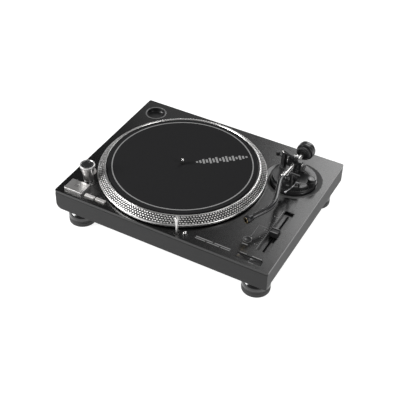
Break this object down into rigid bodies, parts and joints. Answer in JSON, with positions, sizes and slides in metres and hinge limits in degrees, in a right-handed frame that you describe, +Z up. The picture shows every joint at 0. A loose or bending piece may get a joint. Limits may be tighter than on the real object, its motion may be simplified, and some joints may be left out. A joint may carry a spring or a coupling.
{
  "type": "turntable record player",
  "caption": "Direct-drive turntable with a dotted platter, slipmat, S-shaped tonearm without a headshell, pitch fader, push buttons, pop-up lamp and round feet.",
  "frame": {"origin": "on the surface it stands on, under the middle of the deck", "axes": "+X to the right as the user stands at it, -Y towards the user, +Z up"},
  "size_m": [0.4512, 0.3526, 0.1452],
  "materials": {
    "deck_metal": "black satin powder coat with a fine grain",
    "plinth_plastic": "black satin moulded casing",
    "black_metal": "black semi-gloss paint",
    "black_plastic": "black semi-gloss moulding",
    "foot_rubber": "matt black rubber",
    "bright_metal": "polished chrome",
    "button_metal": "brushed silver aluminium",
    "cast_aluminium": "die cast, machined bright edges, strobe dots",
    "felt": "black felt with a thin printed ring",
    "lamp_lens": "dark red clear moulding",
    "lamp_window": "clear moulding over a white lamp",
    "circuit_board": "green board",
    "coil_metal": "copper windings",
    "gold_contact": "gold plated contacts"
  },
  "bodies": {
    "root": {"top_plate": "deck_metal", "plinth": "plinth_plastic", "bottom_cover": "black_metal", "adaptor_well": "black_metal", "fader_tray": "deck_metal", "fader_track": "bright_metal", "strobe_tower": "button_metal", "strobe_lens": "lamp_lens", "target_lamp_sleeve": "black_plastic", "bearing_housing": "bright_metal", "motor_stator": "coil_metal", "main_board": "circuit_board", "power_supply": "bright_metal", "back_panel": "black_plastic", "mains_inlet": "black_plastic", "output_sockets": "gold_contact", "arm_dish": "deck_metal"},
    "platter": {"platter": "cast_aluminium", "slipmat": "felt", "spindle": "bright_metal", "rotor_magnet": "black_metal"},
    "power_knob": {"power_knob": "black_metal"},
    "start_stop_button": {"start_stop_button": "button_metal"},
    "speed_33_button": {"speed_33_button": "button_metal"},
    "speed_45_button": {"speed_45_button": "button_metal"},
    "reverse_button": {"reverse_button": "black_plastic"},
    "pitch_range_button": {"pitch_range_button": "black_plastic"},
    "quartz_button": {"quartz_button": "black_plastic"},
    "target_lamp": {"target_lamp": "button_metal", "target_lamp_lens": "lamp_window"},
    "lamp_release_button": {"lamp_release_button": "bright_metal"},
    "pitch_fader": {"fader_cap": "black_plastic"},
    "output_switch": {"output_switch": "black_plastic"},
    "ground_nut": {"ground_nut": "bright_metal"},
    "height_ring": {"height_ring": "black_metal"},
    "arm_base": {"arm_base": "black_metal", "arm_rest": "black_plastic", "bearing_bracket": "black_metal"},
    "anti_skate": {"anti_skate_dial": "black_plastic"},
    "height_lock": {"height_lock_lever": "black_plastic"},
    "cue_lever": {"cue_lever": "bright_metal"},
    "lifter": {"lifter_bar": "black_metal"},
    "rest_clip": {"rest_clip": "black_plastic"},
    "gimbal": {"gimbal_ring": "black_metal"},
    "arm": {"pivot_housing": "black_metal", "arm_shaft": "bright_metal", "arm_tube": "black_metal", "contact_block": "gold_contact"},
    "locking_collar": {"locking_collar": "black_metal"},
    "weight_sleeve": {"weight_sleeve": "foot_rubber"},
    "counterweight": {"counterweight": "black_metal"},
    "tracking_force_dial": {"tracking_force_dial": "black_plastic"},
    "foot_front_left": {"foot_housing_front_left": "black_plastic", "foot_pad_front_left": "foot_rubber"},
    "foot_front_right": {"foot_housing_front_right": "black_plastic", "foot_pad_front_right": "foot_rubber"},
    "foot_back_left": {"foot_housing_back_left": "black_plastic", "foot_pad_back_left": "foot_rubber"},
    "foot_back_right": {"foot_housing_back_right": "black_plastic", "foot_pad_back_right": "foot_rubber"}
  },
  "joints": [
    {"name": "platter_spin", "type": "hinge", "parent": "root", "child": "platter", "pos_m": [-0.0412, -0.0057, 0.094], "axis": [0, 0, 1], "continuous": true},
    {"name": "power_turn", "type": "hinge", "parent": "root", "child": "power_knob", "pos_m": [-0.1871, -0.1178, 0.119], "axis": [0, 0, 1], "range_deg": [-70, 0]},
    {"name": "start_stop_press", "type": "slide", "parent": "root", "child": "start_stop_button", "axis": [0, 0, 1], "range_m": [-0.002, 0], "stiffness_N_per_m": 400, "springref_m": 0.002},
    {"name": "speed_33_press", "type": "slide", "parent": "root", "child": "speed_33_button", "axis": [0, 0, 1], "range_m": [-0.0015, 0], "stiffness_N_per_m": 250, "springref_m": 0.002},
    {"name": "speed_45_press", "type": "slide", "parent": "root", "child": "speed_45_button", "axis": [0, 0, 1], "range_m": [-0.0015, 0], "stiffness_N_per_m": 250, "springref_m": 0.002},
    {"name": "reverse_press", "type": "slide", "parent": "root", "child": "reverse_button", "axis": [0, 0, 1], "range_m": [-0.0012, 0], "stiffness_N_per_m": 250, "springref_m": 0.002},
    {"name": "pitch_range_press", "type": "slide", "parent": "root", "child": "pitch_range_button", "axis": [0, 0, 1], "range_m": [-0.0012, 0], "stiffness_N_per_m": 250, "springref_m": 0.002},
    {"name": "quartz_press", "type": "slide", "parent": "root", "child": "quartz_button", "axis": [0, 0, 1], "range_m": [-0.0008, 0], "stiffness_N_per_m": 250, "springref_m": 0.002},
    {"name": "target_lamp_rise", "type": "slide", "parent": "root", "child": "target_lamp", "axis": [0, 0, 1], "range_m": [-0.0335, 0], "stiffness_N_per_m": 40, "springref_m": 0.01},
    {"name": "lamp_release_press", "type": "slide", "parent": "root", "child": "lamp_release_button", "axis": [0, 0, 1], "range_m": [-0.002, 0], "stiffness_N_per_m": 250, "springref_m": 0.002},
    {"name": "pitch_slide", "type": "slide", "parent": "root", "child": "pitch_fader", "axis": [0, 1, 0], "range_m": [-0.045, 0.053]},
    {"name": "output_switch_slide", "type": "slide", "parent": "root", "child": "output_switch", "axis": [1, 0, 0], "range_m": [0, 0.004]},
    {"name": "ground_nut_turn", "type": "hinge", "parent": "root", "child": "ground_nut", "pos_m": [0.0204, 0.1687, 0.059], "axis": [0, 1, 0], "range_deg": [0, 1080]},
    {"name": "height_ring_turn", "type": "hinge", "parent": "root", "child": "height_ring", "pos_m": [0.1574, 0.0817, 0.084], "axis": [0, 0, 1], "range_deg": [0, 300]},
    {"name": "arm_height", "type": "slide", "parent": "root", "child": "arm_base", "axis": [0, 0, 1], "range_m": [0, 0.006]},
    {"name": "anti_skate_turn", "type": "hinge", "parent": "arm_base", "child": "anti_skate", "pos_m": [0.1964, 0.0772, 0.102], "axis": [0, 0, 1], "range_deg": [-270, 0]},
    {"name": "height_lock_turn", "type": "hinge", "parent": "arm_base", "child": "height_lock", "pos_m": [0.1314, 0.1067, 0.102], "axis": [0, 0, 1], "range_deg": [-40, 0]},
    {"name": "cue_turn", "type": "hinge", "parent": "arm_base", "child": "cue_lever", "pos_m": [0.1744, 0.0497, 0.105], "axis": [-1, 0, 0], "range_deg": [0, 35]},
    {"name": "lifter_rise", "type": "slide", "parent": "arm_base", "child": "lifter", "axis": [0, 0, 1], "range_m": [0, 0.005]},
    {"name": "rest_clip_turn", "type": "hinge", "parent": "arm_base", "child": "rest_clip", "pos_m": [0.1678, 0.0407, 0.1322], "axis": [0, 1, 0], "range_deg": [-180, 0]},
    {"name": "arm_swing", "type": "hinge", "parent": "arm_base", "child": "gimbal", "pos_m": [0.1574, 0.0817, 0.125], "axis": [0, 0, 1], "range_deg": [-46, 2]},
    {"name": "arm_tilt", "type": "hinge", "parent": "gimbal", "child": "arm", "pos_m": [0.1574, 0.0817, 0.125], "axis": [-0.9976, 0.0698, 0], "range_deg": [0, 12]},
    {"name": "collar_lock", "type": "hinge", "parent": "arm", "child": "locking_collar", "pos_m": [0.14826, -0.09792, 0.11636], "axis": [-0.4406, -0.8966, -0.0444], "range_deg": [0, 55]},
    {"name": "weight_travel", "type": "slide", "parent": "arm", "child": "weight_sleeve", "axis": [0.0697, 0.9964, 0.048], "range_m": [-0.006, 0.006]},
    {"name": "weight_turn", "type": "hinge", "parent": "weight_sleeve", "child": "counterweight", "pos_m": [0.16068, 0.12853, 0.12726], "axis": [0.0697, 0.9964, 0.048], "range_deg": [-720, 720]},
    {"name": "force_dial_turn", "type": "hinge", "parent": "weight_sleeve", "child": "tracking_force_dial", "pos_m": [0.15977, 0.11558, 0.12663], "axis": [0.0697, 0.9964, 0.048], "range_deg": [-180, 180]},
    {"name": "foot_front_left_height", "type": "slide", "parent": "root", "child": "foot_front_left", "axis": [0, 0, 1], "range_m": [-0.008, 0]},
    {"name": "foot_front_right_height", "type": "slide", "parent": "root", "child": "foot_front_right", "axis": [0, 0, 1], "range_m": [-0.008, 0]},
    {"name": "foot_back_left_height", "type": "slide", "parent": "root", "child": "foot_back_left", "axis": [0, 0, 1], "range_m": [-0.008, 0]},
    {"name": "foot_back_right_height", "type": "slide", "parent": "root", "child": "foot_back_right", "axis": [0, 0, 1], "range_m": [-0.008, 0]}
  ],
  "couplings": [
    {"joint": "arm_height", "follows": "height_ring_turn", "m_per_rad": 0.0011459},
    {"joint": "lifter_rise", "follows": "cue_turn", "m_per_rad": 0.0081851},
    {"joint": "weight_travel", "follows": "weight_turn", "m_per_rad": 0.00047746}
  ]
}
